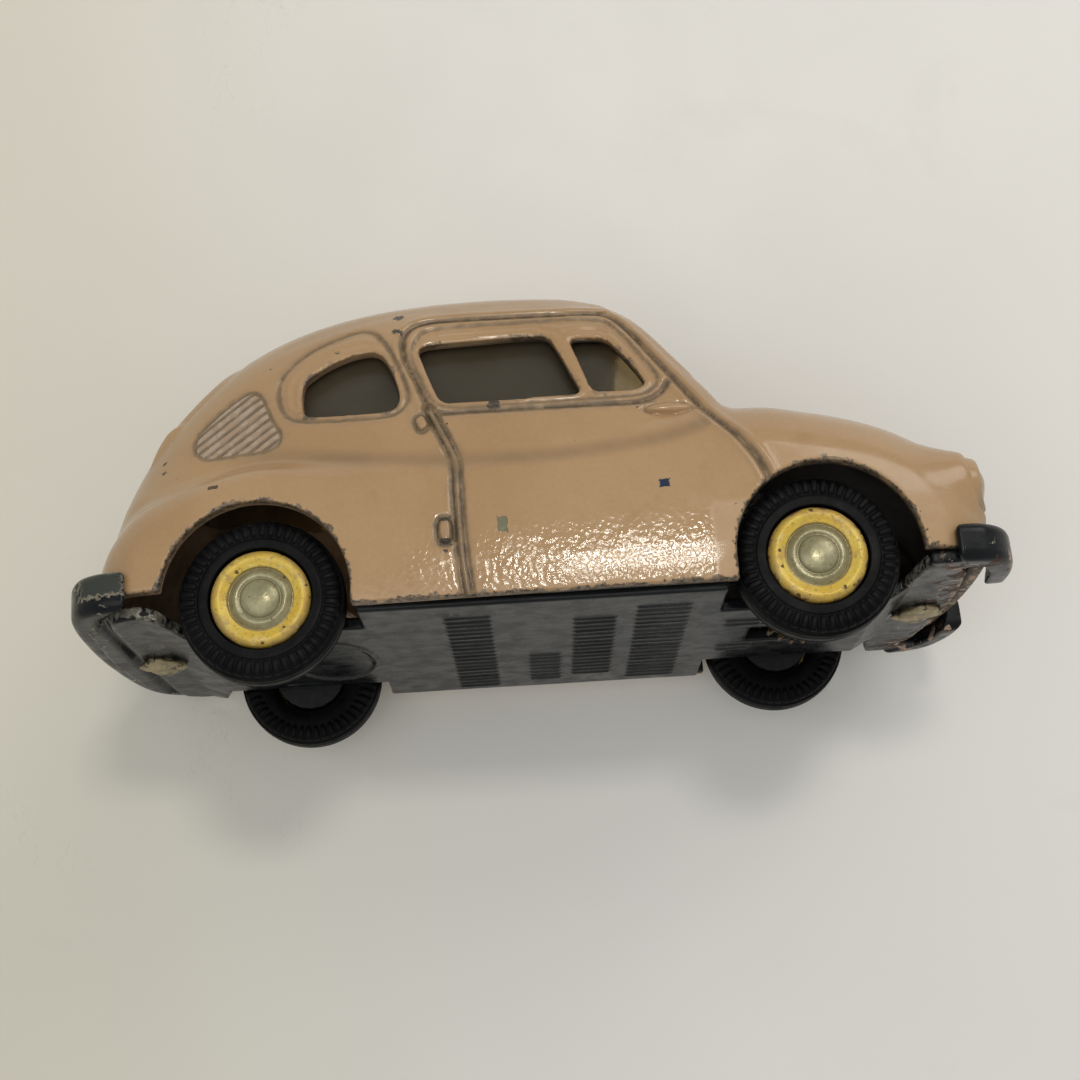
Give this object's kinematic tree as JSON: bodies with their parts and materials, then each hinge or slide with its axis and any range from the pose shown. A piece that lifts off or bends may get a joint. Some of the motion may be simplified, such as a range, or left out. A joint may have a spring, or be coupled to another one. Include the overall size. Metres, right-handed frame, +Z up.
{
  "type": "friction toy car",
  "caption": "Small die-cast friction toy car with a painted shell, cast base with bumpers, clear glazing, rubber tyres on pressed discs and a flywheel motor.",
  "frame": {"origin": "middle of the bounding box at the plane the tyres stand on", "axes": "+X towards the front bumper, +Y to the car's left, +Z up"},
  "size_m": [0.0738, 0.0326, 0.0332],
  "materials": {
    "body_paint": "thick worn gloss enamel",
    "base_paint": "worn black gloss enamel",
    "glazing": "clear, slightly hazy",
    "tyre": "satin aged rubber",
    "wheel_tin": "lacquered tin with a bright centre",
    "hub": "dull",
    "steel": "drawn",
    "brass": "satin",
    "zinc": "cast",
    "motor_plate": "pressed sheet"
  },
  "bodies": {
    "chassis": {"body_shell": "body_paint", "base_plate": "base_paint", "window_glazing": "glazing", "motor_plate_right": "motor_plate", "motor_plate_left": "motor_plate", "motor_spacer_upper": "steel", "motor_spacer_lower": "steel"},
    "front_wheels": {"front_axle": "steel", "axle_gear": "brass", "tyre_front_left": "tyre", "wheel_core_front_left": "hub", "wheel_disc_front_left": "wheel_tin", "tyre_front_right": "tyre", "wheel_core_front_right": "hub", "wheel_disc_front_right": "wheel_tin"},
    "rear_wheels": {"rear_axle": "steel", "tyre_rear_left": "tyre", "wheel_core_rear_left": "hub", "wheel_disc_rear_left": "wheel_tin", "tyre_rear_right": "tyre", "wheel_core_rear_right": "hub", "wheel_disc_rear_right": "wheel_tin"},
    "layshaft_set": {"layshaft": "steel", "layshaft_pinion": "brass", "layshaft_gear": "brass"},
    "flywheel_set": {"flywheel_shaft": "steel", "flywheel_pinion": "brass", "flywheel": "zinc"}
  },
  "joints": [
    {"name": "front_axle_spin", "type": "hinge", "parent": "chassis", "child": "front_wheels", "pos_m": [0.021, 0, 0.00629], "axis": [0, 1, 0], "continuous": true},
    {"name": "rear_axle_spin", "type": "hinge", "parent": "chassis", "child": "rear_wheels", "pos_m": [-0.021, 0, 0.00629], "axis": [0, 1, 0], "continuous": true},
    {"name": "layshaft_spin", "type": "hinge", "parent": "chassis", "child": "layshaft_set", "pos_m": [0.01726, 0, 0.00891], "axis": [0, 1, 0], "continuous": true},
    {"name": "flywheel_spin", "type": "hinge", "parent": "chassis", "child": "flywheel_set", "pos_m": [0.01351, 0, 0.01153], "axis": [0, 1, 0], "continuous": true}
  ],
  "couplings": [
    {"joint": "layshaft_spin", "follows": "flywheel_spin", "ratio": -0.36364},
    {"joint": "front_axle_spin", "follows": "flywheel_spin", "ratio": 0.13223}
  ]
}
